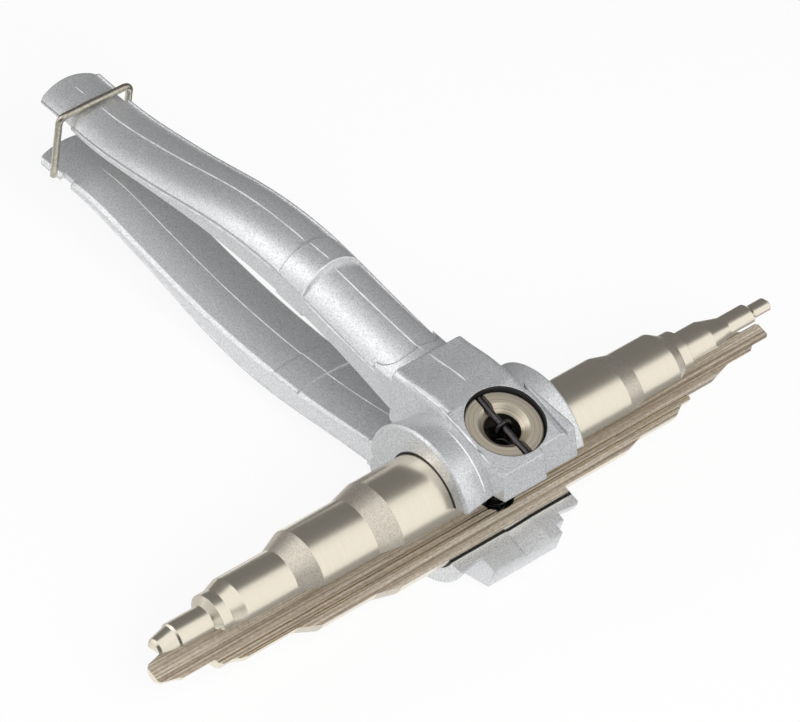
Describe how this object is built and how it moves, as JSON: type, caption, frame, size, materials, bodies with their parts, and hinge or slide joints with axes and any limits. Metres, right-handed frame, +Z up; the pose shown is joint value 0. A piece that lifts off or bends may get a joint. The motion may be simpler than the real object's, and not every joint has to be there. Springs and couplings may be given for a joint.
{
  "type": "tube expander",
  "caption": "Hand tube expander: double-ended split stepped mandrel in hinged jaws, with curved handles, hollow slotted clamp screws, a return spring and a wire latch loop.",
  "frame": {"origin": "centre of the bounding box in plan, at the level the tool rests on", "axes": "X along the mandrel, with the end that has the slimmer steps at +X; +Y from the mandrel towards the handle ends; +Z up, the tool lying on its lower casting with the handles half squeezed"},
  "size_m": [0.183, 0.175, 0.0483],
  "materials": {
    "casting": "blasted die casting under a thin silver paint with a fine sparkle, satin",
    "mandrel": "satin nickel plate, turned, warm tone",
    "screw": "turned, satin, warm tone",
    "dark_pin": "blackened, semi-gloss",
    "spring": "oiled spring wire, dark",
    "pin": "ground",
    "wire": "plated spring wire, semi-bright"
  },
  "bodies": {
    "lower": {"lower_handle": "casting", "lower_mandrel_half": "mandrel", "lower_jaw_screw": "screw", "lower_spring_pin": "dark_pin", "return_spring": "spring", "hinge_pin": "pin"},
    "upper": {"upper_handle": "casting", "upper_mandrel_half": "mandrel", "upper_jaw_screw": "screw", "upper_spring_pin": "dark_pin"},
    "loop": {"handle_latch_loop": "wire"}
  },
  "joints": [
    {"name": "handle_squeeze", "type": "hinge", "parent": "lower", "child": "upper", "pos_m": [0.005, -0.05576, 0.02175], "axis": [-1, 0, 0], "range_deg": [-28.3, 3.4], "deforming": ["return_spring"]},
    {"name": "latch_loop_swing", "type": "hinge", "parent": "upper", "child": "loop", "pos_m": [0.005, 0.07435, 0.0412], "axis": [1, 0, 0], "range_deg": [0, 95]}
  ]
}
